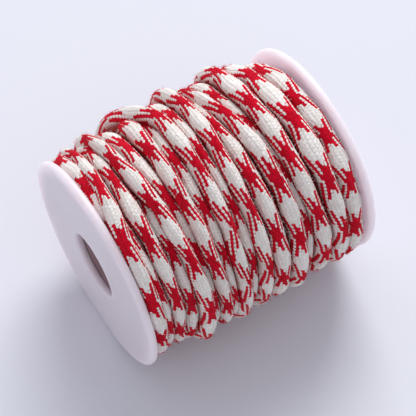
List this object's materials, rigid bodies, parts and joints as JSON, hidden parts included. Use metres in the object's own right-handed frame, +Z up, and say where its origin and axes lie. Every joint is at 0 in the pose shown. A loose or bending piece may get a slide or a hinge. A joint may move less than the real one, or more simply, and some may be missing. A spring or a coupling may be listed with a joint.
{
  "type": "roll of braided cord wound on a plastic spool",
  "caption": "Round braided two-colour cotton cord wound in uneven turns on a flanged plastic spool that lies on its side.",
  "frame": {"origin": "on the floor under the middle of the spool", "axes": "+X along the spool's axis, +Z up as the spool lies on its side"},
  "size_m": [0.072, 0.0657, 0.0643],
  "materials": {
    "spool_plastic": "translucent white moulded plastic, satin",
    "braided_cotton": "red and off-white braided cotton"
  },
  "bodies": {
    "root": {"flange_near": "spool_plastic", "flange_far": "spool_plastic", "core_tube": "spool_plastic", "wound_cord": "braided_cotton"}
  },
  "joints": []
}
